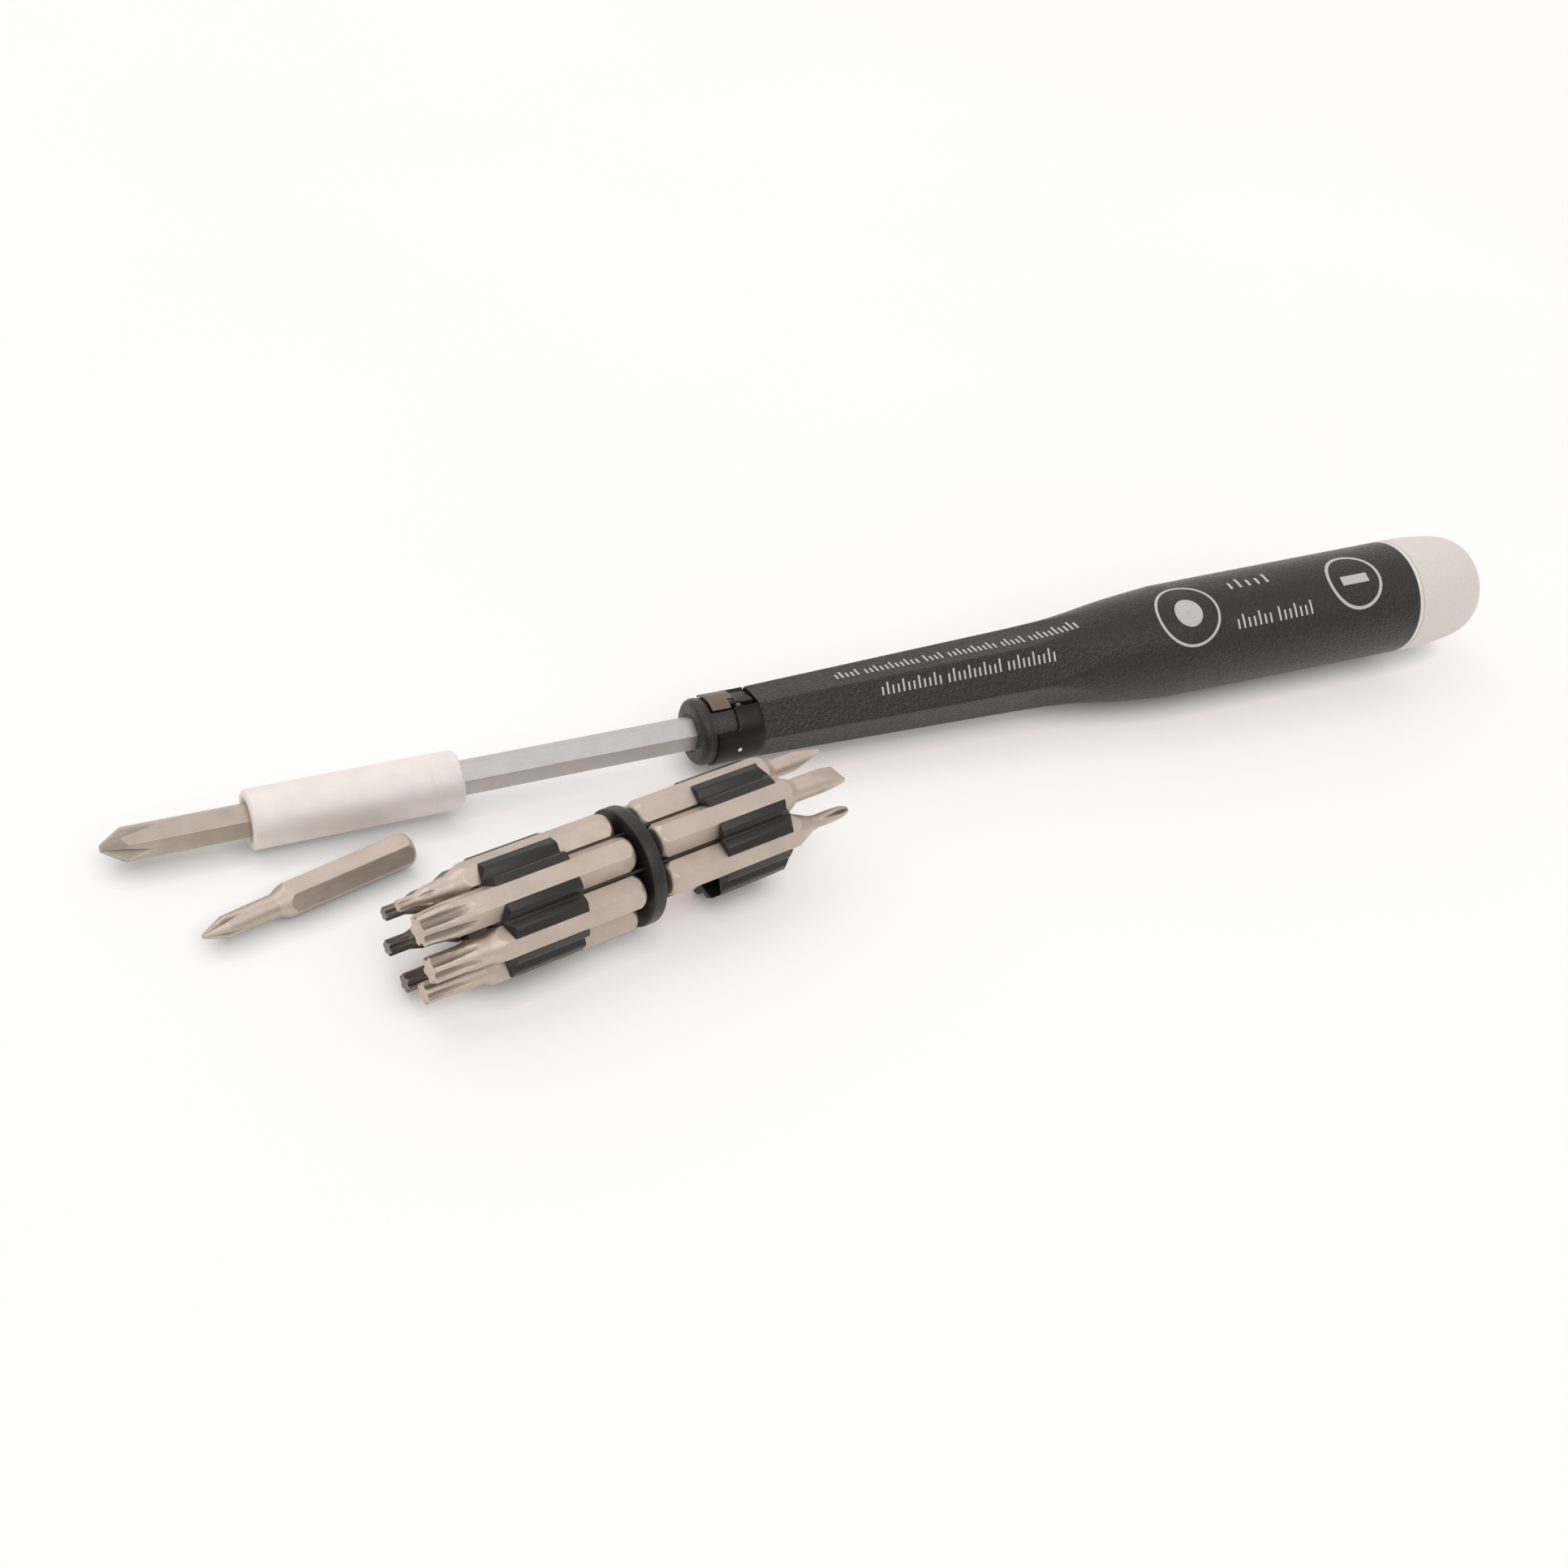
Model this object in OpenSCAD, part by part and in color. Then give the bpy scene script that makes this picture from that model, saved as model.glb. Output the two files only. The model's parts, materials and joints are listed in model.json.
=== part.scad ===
// Precision screwdriver set: a driver with a sliding blade and a hollow handle,
// a spare bit, and the rack of bits that the handle stores. All lie on one flat surface.
// The driver is drawn along its own axis, s = 0 at the tip of its bit, then laid down so
// that the rim of its sleeve and the shoulder of its handle touch the surface.
// An angle about an axis is measured from the far side (+Y) over the top (+Z).

/* [Bits] */
// Width across the flats of every bit and of the blade
bit_af = 4; // [3.8:0.1:4.2]
// Length of a bit
bit_len = 28; // [27:0.5:29]
// Diameter of the neck behind a narrow tip
neck_d = 2.9; // [2.5:0.1:3.2]

/* [Bit sleeve and blade] */
// Outer radius of the bit sleeve
sleeve_r = 3.73; // [3.5:0.01:4]
// Front end of the sleeve, from the tip of the bit
sleeve_front = 17.1; // [16:0.1:18]
// Rear end of the sleeve
sleeve_rear = 43.3; // [42:0.1:45]
// Rear end of the blade, inside the handle
blade_rear = 112; // [105:1:114]
// Width across the flats of the hexagonal holes
socket_af = 4.08; // [4.05:0.01:4.2]

/* [Nose and release lever] */
// Front face of the nose piece
nose_front = 75.1; // [74.8:0.1:75.4]
// Radius of the nose piece's rounded rim
rim_r = 4.42; // [4.36:0.02:4.5]
// Radius of the nose piece behind its rim
nose_r = 4.33; // [4.3:0.01:4.34]
// Outer radius of the sheet-metal band and of the release tab
band_r = 4.68; // [4.66:0.01:4.7]
// Thickness of the sheet metal
sheet = 0.32; // [0.3:0.01:0.32]
// Front edge of the tab and of the band's forward part
tab_front = 77.15; // [77.1:0.05:77.2]
// Front edge of the band's ring
band_front = 80.1; // [80.05:0.05:80.2]
// Angle of the release lever about the axis
lever_angle = 72; // [65:1:80]
// Half the angle that the tab spans
tab_half = 33.5; // [32:0.5:34]
// Half the angle between the two forward edges of the band
window_half = 74; // [70:1:76]
// Where the lever's pin lies along the driver
pin_s = 81.1; // [81:0.1:81.2]
// Distance from the axis to the lever's pin
pin_y = 3.4; // [3.35:0.05:3.4]
// Half the angle between the two rivets
rivet_half = 108; // [100:1:120]
// Where the rivets lie along the driver
rivet_s = 80.2; // [80:0.1:80.4]

/* [Handle] */
// Front end of the handle
handle_front = 83.8; // [83.7:0.1:83.9]
// Rear end of the handle
handle_rear = 190.9; // [190:0.1:192]
// Distance from the axis to a flat, at the front end
flat_front = 4.1; // [4:0.05:4.3]
// Slope of the flats, in degrees
flat_slope = 1.37; // [1.2:0.01:1.5]
// Angle of the first flat about the axis
flat_angle = 18; // [10:1:25]
// Radius of the rear rim
rear_r = 8.4; // [8.3:0.05:8.8]
// Radius of the room for the bit rack
store_r = 7.55; // [7.5:0.01:7.6]

/* [Cap] */
// Rear end of the cap
cap_rear = 205.3; // [205:0.1:207]
// Largest radius of the cap
cap_r = 8.47; // [8.4:0.01:8.6]

/* [Bit rack] */
// Number of places at each end
places = 7; // [7:1:7]
// Radius of the circle of places
ring_r = 5.3; // [5.3:0.02:5.36]
// Radius of the middle disc
disc_r = 7.45; // [7.45:0.01:7.5]
// Thickness of the middle disc
disc_t = 1.8; // [1.6:0.1:2]
// Gap from the middle of the disc to the tail of a bit
tail_gap = 1.75; // [1.5:0.05:1.8]
// Angle of the first place about the rack's axis
first_place = 60; // [56:1:68]

/* [Layout] */
// Where the driver's tip stands
driver_x = -102.4; // [-103:0.1:-102]
// Where the driver's axis runs
driver_y = 12.6; // [12.2:0.2:13]
// Where the middle of the rack lies
rack_x = -45.8; // [-47:0.1:-45]
rack_y = -9.4; // [-10:0.1:-9]
// Heading of the rack, in degrees from +X towards +Y
rack_heading = 10.9; // [9:0.1:12]
// Where the tip of the loose bit lies
loose_x = -94.5; // [-95:0.5:-94]
loose_y = -2.7; // [-3:0.1:-2]
// Heading of the loose bit
loose_heading = 16; // [15:0.1:19]

/* [Hidden] */
$fn = 64;
eps = 0.02;
bit_r = bit_af / sqrt(3);          // centre to corner
pitch = 360 / places;              // angle from one place to the next
blade_front = 32.3;
blade_turn = 27.6;                 // angle of one corner of the blade
fitted_turn = 19;                  // angle of one corner of the fitted bit
sleeve_chamfer = 0.35;
shoulder_s = 149;                  // the handle touches the surface here
shoulder_r = 8.05;
// The driver leans on the sleeve's rim and on the handle's shoulder
tilt = atan((shoulder_r - sleeve_r) / (shoulder_s - sleeve_front - sleeve_chamfer));
tip_z = sleeve_r * cos(tilt) - (sleeve_front + sleeve_chamfer) * sin(tilt);
// The rack leans on its disc and on the front corner of the lowest bit
hex_start = 9;
head_start = 8.15;                 // from a bit's tail to the clip heads
head_len = 10.3;
core_end = tail_gap + head_start + head_len + 0.75;
rack_tilt = atan((disc_r - ring_r - bit_af / 2) / (tail_gap + bit_len - hex_start - disc_t / 2));
rack_z = disc_r * cos(rack_tilt) + disc_t / 2 * sin(rack_tilt);

// Star bits: name, tip diameter, end of the straight tip, neck diameter, end of the
// neck, start of the hexagon
star_bits = [
    ["star_bit_5", 1.42, 2.2, neck_d, 6.6, 8.6],
    ["star_bit_6", 1.70, 2.4, neck_d, 6.6, 8.6],
    ["star_bit_7", 1.99, 2.6, neck_d, 6.6, 8.6],
    ["star_bit_8", 2.31, 3.0, neck_d, 6.6, 8.8],
    ["star_bit_10", 2.74, 3.6, neck_d, 7.4, 9.0],
    ["star_bit_15", 3.27, 3.8, 3.5, 7.4, 9.2],
    ["star_bit_20", 3.86, 0.8, 4.2, 3.0, 4.4]];
// Their places, counted from the first place away from the viewer, over the bottom
star_places = [0, 1, 2, 3, 4, 5, 6];
// Slot bits: name, blade width, blade thickness, place
slot_bits = [
    ["slot_bit_30", 3.0, 0.50, 6],
    ["slot_bit_15", 1.5, 0.28, 1],
    ["slot_bit_20", 2.0, 0.34, 2],
    ["slot_bit_25", 2.4, 0.40, 0]];
fine_place = 5;

// ---------- placing ----------

// Turns a part drawn along +Z to lie along +X, with its own X away and its own Y up
module lie() rotate([90, 0, 90]) children();

module on_driver() translate([driver_x, driver_y, tip_z]) rotate([0, -tilt, 0]) lie() children();

module on_rack() translate([rack_x, rack_y, rack_z]) rotate([0, -rack_tilt, rack_heading]) lie() children();

// Puts a bit, drawn with its tip at the origin, into place k of one end of the rack
module in_place(k, end) {
    a = first_place - k * pitch;
    on_rack() translate([ring_r * cos(a), ring_r * sin(a), end * (tail_gap + bit_len)])
        mirror([0, 0, end > 0 ? 1 : 0]) rotate(a) children();
}

module lever_frame() rotate(lever_angle - 90) children();

// ---------- shared shapes ----------

// A solid of revolution from [s, r] pairs
module turned(profile) {
    n = len(profile) - 1;
    rotate_extrude() polygon(concat([[0, profile[0][0]]], [for (p = profile) [p[1], p[0]]],
        [[0, profile[n][0]]]));
}

// A tube with the outer profile and a plain bore
module ring(r_out, r_in, s0, s1) translate([0, 0, s0]) difference() {
    cylinder(r = r_out, h = s1 - s0);
    translate([0, 0, -1]) cylinder(r = r_in, h = s1 - s0 + 2);
}

module rod(r, s0, s1) translate([0, 0, s0]) cylinder(r = r, h = s1 - s0);

module hex_rod(af, s0, s1) translate([0, 0, s0]) cylinder(r = af / sqrt(3), h = s1 - s0, $fn = 6);

// A curved strip of sheet metal between two angles and two stations
module strip(r_out, thick, a0, a1, s0, s1) translate([0, 0, s0]) rotate(a0)
    rotate_extrude(angle = a1 - a0) translate([r_out - thick, 0]) square([thick, s1 - s0]);

// A hexagonal bit turned down to a profile at its front and chamfered at its tail.
// A flat faces the bit's own +X
module blank(front) intersection() {
    rotate(30) hex_rod(bit_af, 0, bit_len);
    turned(concat(front, [[bit_len - 0.95, bit_r + eps], [bit_len - 0.3, 1.95], [bit_len, 1.6]]));
}

// ---------- bit tips ----------

module star_bit(b) {
    r = b[1] / 2;
    groove_r = 0.36 * r;
    root = 0.72 * r;
    run = max(b[2] + 2.6, 3.9 * r, 5.2);
    lean = atan((b[3] / 2 + 0.1 - root) / run);
    difference() {
        blank([[0, r - 0.1], [0.12, r], [b[2], r], [b[2] + 1.6, min(r + 0.5, b[3] / 2)],
            [b[4] - 0.1, b[3] / 2], [b[5], bit_r + eps]]);
        for (k = [0:5]) rotate(60 * k) translate([root + groove_r, 0, 0]) rotate([0, lean, 0])
            translate([0, 0, -1]) cylinder(r = groove_r, h = run + 2, $fn = 32);
    }
}

module slot_bit(b) {
    r = b[1] / 2;
    edge = b[2] / 2;
    run = 2.2 + 0.75 * b[1];
    lean = atan((max(r, 1.0) - edge) / run);
    difference() {
        blank([[0, r - 0.05], [0.1, r], [run, r], [run + 0.6, max(r, 1.1)], [7.4, max(r, 1.2)],
            [9, bit_r + eps]]);
        for (m = [30, 210]) rotate(m) translate([edge, -4, 0]) rotate([0, lean, 0])
            translate([0, 0, -1]) cube([4, 8, run + 1]);
    }
}

// Cuts the four grooves of a cross tip: v-shaped, with a rounded root, leaning outwards
module cross_grooves(root, lean, run, round = 0.2) for (k = [0:3]) rotate(90 * k)
    translate([root, 0, 0]) rotate([0, lean, 0]) translate([0, 0, -1]) {
        linear_extrude(run + 1) polygon([[round * 0.3, -round * 0.7], [round * 0.3, round * 0.7],
            [3.5, 3.5], [3.5, -3.5]]);
        translate([round, 0, 0]) cylinder(r = round, h = run + 1, $fn = 24);
    }

module cross_bit_full() difference() {
    blank([[0, 0.4], [0.12, 0.52], [3.0, bit_r + eps]]);
    rotate(fitted_turn - 30 + 95) cross_grooves(0.34, 15, 9);
}

module cross_bit_necked(tip_r, neck_end, body_start) difference() {
    blank([[0, 0.2], [0.1, 0.3], [2.9, tip_r], [3.3, tip_r], [neck_end, neck_d / 2],
        [body_start, bit_r + eps]]);
    cross_grooves(0.2, 13, 7, 0.16);
}

module cross_bit_fine() difference() {
    blank([[0, 0.26], [0.25, 0.48], [1.3, 0.86], [3.0, 0.88], [5, 0.84], [6, 1.0],
        [9, bit_r + eps]]);
    rotate(40) cross_grooves(0.14, 9, 5, 0.1);
}

// ---------- driver ----------

// Outer shape of the handle before its six flats are cut
handle_profile = [[handle_front, flat_front / cos(30) - 0.1], [handle_front + 0.3, flat_front / cos(30) - 0.02],
    [124, 5.82], [129, 5.98], [132, 6.2], [135, 6.55], [138, 6.97], [141, 7.35], [145.3, 7.74],
    [shoulder_s, shoulder_r], [158, 8.15], [174, 8.28], [handle_rear - 0.2, rear_r], [handle_rear, rear_r - 0.15]];
flat_end = 124;
scallop_r = 53;
scallop_arc = 24;

// Takes one flat off the handle. It rises in a wide hollow where it meets the round rear
module flat_cutter() {
    x1 = flat_front + (flat_end - handle_front) * tan(flat_slope);
    cx = x1 + scallop_r * cos(flat_slope);
    cs = flat_end - scallop_r * sin(flat_slope);
    hollow = [for (i = [0:12]) let (b = flat_slope + scallop_arc * i / 12)
        [cx - scallop_r * cos(b), cs + scallop_r * sin(b)]];
    rotate([90, 0, 0]) translate([0, 0, -9]) linear_extrude(18)
        polygon(concat([[12, handle_front - 5], [flat_front - 5 * tan(flat_slope), handle_front - 5]],
            hollow, [[12, hollow[12][1]]]));
}

module handle_body() color("#2d2b28") on_driver() difference() {
    turned(handle_profile);
    for (k = [0:5]) rotate(flat_angle + 60 * k) flat_cutter();
    rod(3.25, handle_front - 1, handle_front + 12.3);
    rod(2.6, handle_front, 142.5);
    turned([[144.4, 6.95], [148.5, store_r], [handle_rear + 1, store_r]]);
    rod(7.92, handle_rear - 4.1, handle_rear + 1);
}

module cap_ring() color("#f2efe9") on_driver() {
    ring(rear_r - 0.04, 7.52, handle_rear + 0.06, handle_rear + 0.7);
    ring(7.86, 7.52, handle_rear - 3.9, handle_rear + 4.4);
}

module end_cap() color("#dcd5d0") on_driver() difference() {
    turned([[handle_rear + 0.76, cap_r - 0.14], [handle_rear + 1, cap_r], [194.6, cap_r - 0.02],
        [196.5, 8.34], [198.5, 8.18], [200.5, 7.96], [202, 7.66], [203.2, 7.28], [204.2, 6.7],
        [204.9, 5.95], [cap_rear, 4.9]]);
    rod(7.92, handle_rear, handle_rear + 4.6);
    turned([[handle_rear, store_r], [197, store_r], [200.6, 7.15], [202.8, 6.75], [204.1, 5.9]]);
}

// A radial hole or pin at both rivets
module at_rivets() for (m = [-1, 1]) rotate(lever_angle + m * rivet_half)
    translate([3.4, 0, rivet_s]) rotate([0, 90, 0]) children();

module nose_piece() color("#201f1e") on_driver() difference() {
    turned([[nose_front, rim_r - 0.75], [nose_front + 0.15, rim_r - 0.35], [nose_front + 0.4, rim_r - 0.1],
        [nose_front + 0.75, rim_r], [nose_front + 1.35, rim_r], [nose_front + 1.5, nose_r],
        [handle_front, nose_r], [handle_front, 3.22], [handle_front + 11.6, 3.22], [handle_front + 12, 2.9]]);
    rotate(blade_turn) hex_rod(socket_af, nose_front - 1, handle_front + 0.5);
    rod(2.45, handle_front, handle_front + 13);
    rod(2.5, nose_front - 1, nose_front + 0.15);
    lever_frame() {
        translate([-1.75, 2.58, tab_front - 0.1]) cube([3.5, 4, handle_front - tab_front + 0.1]);
        strip(6, 2, 90 - tab_half - 2, 90 + tab_half + 2, tab_front - 0.28, band_front - 0.1);
        translate([-3, pin_y, pin_s]) rotate([0, 90, 0]) cylinder(r = 0.51, h = 6, $fn = 24);
        translate([0, 0, 82.6]) rotate([-90, 0, 0]) cylinder(r = 0.82, h = 5, $fn = 24);
    }
    at_rivets() cylinder(r = 0.46, h = 2, $fn = 24);
}

// The band: a ring at the rear, open over the lever, that reaches forward below. Its two
// inner corners are rounded
corner_r = 0.5;
corner_turn = 2 * asin(corner_r / band_r / 2);

module clip_band() color("#3d352b") on_driver() difference() {
    ring(band_r, band_r - sheet, tab_front, handle_front - 0.04);
    rotate(lever_angle) {
        strip(6, 2, -tab_half, tab_half, tab_front - 1, handle_front + 1);
        strip(6, 2, -window_half, window_half, tab_front - 1, band_front - corner_r);
        strip(6, 2, corner_turn - window_half, window_half - corner_turn, tab_front - 1, band_front);
        for (m = [-1, 1]) rotate(m * (window_half - corner_turn + 0.3))
            translate([3.4, 0, band_front - corner_r - 0.02]) rotate([0, 90, 0])
                cylinder(r = corner_r, h = 2, $fn = 32);
    }
    at_rivets() cylinder(r = 0.5, h = 2, $fn = 24);
}

module band_rivets() color("#d8d4cc") on_driver() at_rivets() turned([[0.02, 0.4], [0.1, 0.44],
    [1.16, 0.44], [1.24, 0.38], [1.29, 0.25], [1.31, 0.05]]);

module release_lever() color("#6b6055") on_driver() lever_frame() difference() {
    union() {
        strip(band_r, sheet, 90 - tab_half + 0.3, 90 + tab_half - 0.3, tab_front, band_front - 0.3);
        strip(band_r, sheet, 76, 104, band_front - 0.5, band_front + 0.5);
        translate([-1.4, 3.1, tab_front + 0.45]) cube([2.8, 1.25, 2.8]);
        translate([-1.4, 3.15, 80.2]) cube([2.8, 0.75, 3.3]);
        translate([-1.4, pin_y, pin_s]) rotate([0, 90, 0]) cylinder(r = 0.75, h = 2.8, $fn = 32);
    }
    translate([-3, pin_y, pin_s]) rotate([0, 90, 0]) cylinder(r = 0.54, h = 6, $fn = 24);
}

module lever_pin() color("#b9b5ae") on_driver() lever_frame()
    translate([-2.4, pin_y, pin_s]) rotate([0, 90, 0]) cylinder(r = 0.5, h = 4.8, $fn = 24);

// A bent leaf in the pocket below the tab
module lever_spring() color("#9a9892") on_driver() lever_frame() translate([-1.1, 0, 0])
    rotate([90, 0, 90]) linear_extrude(2.2) polygon([[2.6, 77.4], [2.7, 77.4], [2.9, 78.6], [2.7, 79.7],
        [2.6, 79.7], [2.8, 78.6]]);

module clamp_pin() color("#c9c6c0") on_driver() lever_frame()
    translate([0, 2.27, 82.6]) rotate([-90, 0, 0]) cylinder(r = 0.79, h = 0.84, $fn = 32);

module hex_blade() color("#bdb9b9") on_driver() intersection() {
    rotate(blade_turn) hex_rod(bit_af, blade_front, blade_rear);
    turned([[blade_front, 1.9], [blade_front + 0.4, bit_r + eps], [blade_rear - 0.4, bit_r + eps], [blade_rear, 1.9]]);
}

module bit_sleeve() color("#ebe6e0") on_driver() difference() {
    turned([[sleeve_front, sleeve_r - sleeve_chamfer], [sleeve_front + sleeve_chamfer, sleeve_r],
        [sleeve_rear - 4.1, sleeve_r], [sleeve_rear - 4.04, sleeve_r - 0.05], [sleeve_rear - 3.9, sleeve_r - 0.05],
        [sleeve_rear - 3.84, sleeve_r],
        [sleeve_rear - sleeve_chamfer, sleeve_r], [sleeve_rear, sleeve_r - sleeve_chamfer]]);
    rotate(fitted_turn) hex_rod(socket_af, sleeve_front - 1, bit_len);
    rod(2.03, bit_len - 1, bit_len + 3.1);
    turned([[sleeve_front - 1, 3.2], [sleeve_front, 2.7], [sleeve_front + 0.5, 2.2]]);
    rotate(blade_turn) hex_rod(socket_af, blade_front - 0.3, sleeve_rear + 1);
}

module socket_magnet() color("#8f9094") on_driver() rod(2.0, bit_len + 0.03, bit_len + 3.03);

module fitted_cross_bit() color("#a89a8c") on_driver() rotate(fitted_turn - 30) cross_bit_full();

// ---------- beside the driver ----------

module loose_cross_bit() color("#a89a8c") translate([loose_x, loose_y, bit_af / 2])
    rotate([0, 0, loose_heading]) lie() rotate(90) cross_bit_necked(1.4, 9.4, 11.3);

// One clip head, in the wedge between two neighbouring bits. Its two wings lie on the
// bits' side faces, with a groove between them
module clip_head_2d() {
    c = 0.05;
    mid = pitch / 2;
    inner = [ring_r * cos(mid) + bit_r * cos(mid - 90), ring_r * sin(mid) + bit_r * sin(mid - 90)];
    outer = [ring_r * cos(mid) + bit_r * cos(mid - 30), ring_r * sin(mid) + bit_r * sin(mid - 30)];
    off = c * [cos(mid - 60), sin(mid - 60)];
    half = [[5.4, inner[1] - 0.04], inner + off, outer + off, [disc_r - 0.35, outer[1] - 0.12],
        [disc_r - 0.12, 1.1], [disc_r - 0.2, 0.75], [6.65, 0.12]];
    n = len(half) - 1;
    polygon(concat(half, [for (i = [0:n]) [half[n - i][0], -half[n - i][1]]]));
}

module rack_heads(end) mirror([0, 0, end > 0 ? 0 : 1]) for (k = [0:places - 1])
    rotate(first_place + pitch / 2 - k * pitch) difference() {
        translate([0, 0, tail_gap + head_start]) linear_extrude(head_len) clip_head_2d();
        translate([7.9, 0, tail_gap + head_start + head_len - 1.6]) rotate([0, -35, 0]) translate([0, -4, -1]) cube([3, 8, 4]);
    }

module bit_rack() color("#282826") on_rack() {
    turned([[-disc_t / 2, disc_r - 0.2], [-disc_t / 2 + 0.2, disc_r], [disc_t / 2 - 0.2, disc_r],
        [disc_t / 2, disc_r - 0.2]]);
    rod(3.2, -core_end, core_end);
    for (k = [0:places - 1]) rotate(first_place + pitch / 2 - k * pitch)
        translate([2.6, -0.17, 0.2 - core_end]) cube([3.1, 0.34, 2 * core_end - 0.4]);
    rack_heads(-1);
    rack_heads(1);
}

module fine_cross_bit() color("#b8ab9d") in_place(fine_place, 1) cross_bit_fine();

// ---------- nodes ----------

handle_body();
cap_ring();
end_cap();
nose_piece();
clip_band();
band_rivets();
release_lever();
lever_pin();
lever_spring();
clamp_pin();
hex_blade();
bit_sleeve();
socket_magnet();
fitted_cross_bit();
loose_cross_bit();
bit_rack();
for (i = [0:len(star_bits) - 1]) color("#b8ab9d") in_place(star_places[i], -1) star_bit(star_bits[i]);
for (b = slot_bits) color("#b8ab9d") in_place(b[3], 1) slot_bit(b);
fine_cross_bit();
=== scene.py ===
"""The looks of the precision screwdriver set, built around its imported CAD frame."""
import json
import math

import bmesh
import bpy
import numpy as np
from mathutils import Matrix, Vector


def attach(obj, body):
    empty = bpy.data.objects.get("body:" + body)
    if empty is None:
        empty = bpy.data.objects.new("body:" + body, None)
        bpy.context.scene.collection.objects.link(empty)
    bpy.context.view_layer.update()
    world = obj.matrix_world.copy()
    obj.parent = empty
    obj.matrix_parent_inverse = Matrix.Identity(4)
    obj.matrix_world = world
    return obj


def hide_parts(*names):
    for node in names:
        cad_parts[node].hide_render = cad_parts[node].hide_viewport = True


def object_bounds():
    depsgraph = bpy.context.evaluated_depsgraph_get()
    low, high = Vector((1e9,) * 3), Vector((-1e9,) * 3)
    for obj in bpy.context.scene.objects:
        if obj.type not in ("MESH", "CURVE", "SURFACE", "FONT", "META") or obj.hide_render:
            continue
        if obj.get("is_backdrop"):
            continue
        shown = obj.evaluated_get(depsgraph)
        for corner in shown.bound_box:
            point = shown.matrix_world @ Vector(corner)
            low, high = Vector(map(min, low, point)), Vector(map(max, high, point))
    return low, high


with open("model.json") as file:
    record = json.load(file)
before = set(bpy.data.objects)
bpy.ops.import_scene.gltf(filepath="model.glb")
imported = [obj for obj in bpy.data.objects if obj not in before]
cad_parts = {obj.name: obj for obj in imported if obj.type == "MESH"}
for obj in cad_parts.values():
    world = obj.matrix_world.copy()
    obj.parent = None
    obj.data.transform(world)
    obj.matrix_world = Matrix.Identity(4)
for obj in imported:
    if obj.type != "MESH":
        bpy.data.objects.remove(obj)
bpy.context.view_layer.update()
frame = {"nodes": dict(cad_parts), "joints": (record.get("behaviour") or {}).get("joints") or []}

MM = 0.001
scene = bpy.context.scene
joints = {j["name"]: j for j in frame["joints"]}

# ---------- camera ----------

CAM_POS = Vector((-140.2, -168.12, 189.75)) * MM
CAM_YAW, CAM_PITCH, CAM_ROLL = 35.617, 41.555, 14.869
CAM_FOCAL_PX = 2667.8
FRAME_PX = 1932


def make_camera():
    yaw, pitch, roll = (math.radians(v) for v in (CAM_YAW, CAM_PITCH, CAM_ROLL))
    ahead = Vector((math.sin(yaw), math.cos(yaw), 0))
    right = Vector((math.cos(yaw), -math.sin(yaw), 0))
    forward = ahead * math.cos(pitch) - Vector((0, 0, math.sin(pitch)))
    up = ahead * math.sin(pitch) + Vector((0, 0, math.cos(pitch)))
    side = right * math.cos(roll) + up * math.sin(roll)
    top = up * math.cos(roll) - right * math.sin(roll)
    data = bpy.data.cameras.new("camera")
    data.sensor_width = 36
    data.lens = 36 * CAM_FOCAL_PX / FRAME_PX
    data.clip_start = 0.01
    data.clip_end = 20
    camera = bpy.data.objects.new("camera", data)
    scene.collection.objects.link(camera)
    turn = Matrix((side, top, -forward)).transposed()
    camera.matrix_world = Matrix.Translation(CAM_POS) @ turn.to_4x4()
    scene.camera = camera


make_camera()

# ---------- places, in millimetres, as in the CAD model ----------

BIT_AF, BIT_LEN, BIT_R = 4.0, 28.0, 4.0 / math.sqrt(3)
RING_R, TAIL_GAP, FIRST_PLACE, PLACES = 5.3, 1.75, 60.0, 7
PITCH = 360 / PLACES
DISC_R, DISC_HALF = 7.45, 0.9
# stations along the driver are measured from the fitted bit's tip
NOSE_FRONT, HANDLE_FRONT, HANDLE_REAR, CAP_JOINT = 75.1, 83.8, 190.9, 195
SLEEVE_R, SLEEVE_FRONT, SLEEVE_REAR = 3.73, 17.1, 43.3
BLADE_FRONT, BLADE_REAR, BLADE_TURN, FITTED_TURN = 32.3, 112.0, 27.6, 19.0
HOLE_AF = 4.08  # across the flats of every hole for a bit or the blade
STORE_R, PLUG_R = 7.55, 7.92  # the store in the handle, and the bores that the cap ring plugs into
EDGE_EASE = 0.035  # how softly the edges of a ground hexagon are broken


def basis(origin, x, z):
    """A placing matrix with its origin, in metres, and the directions of its own x and z."""
    x, z = Vector(x).normalized(), Vector(z).normalized()
    turn = Matrix((x, z.cross(x), z)).transposed()
    return Matrix.Translation(Vector(origin)) @ turn.to_4x4()


drive = joints["cap_spin"]
drive_axis = Vector(drive["axis"])
DRIVER = basis(Vector(drive["pos_m"]) - drive_axis * CAP_JOINT * MM, (0, 1, 0), drive_axis)
rack_axis = Vector(joints["slot_bit_30_pull"]["axis"])
RACK_TILT = math.asin(rack_axis.z)
RACK_MIDDLE = Vector((-45.8, -9.4, DISC_R * math.cos(RACK_TILT) + DISC_HALF * math.sin(RACK_TILT)))
RACK = basis(RACK_MIDDLE * MM, (-rack_axis.y, rack_axis.x, 0), rack_axis)
LOOSE_TURN = math.radians(16)
LOOSE_AXIS = (math.cos(LOOSE_TURN), math.sin(LOOSE_TURN), 0)
LOOSE = basis(Vector((-94.5, -2.7, BIT_AF / 2)) * MM, (0, 0, 1), LOOSE_AXIS)


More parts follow.
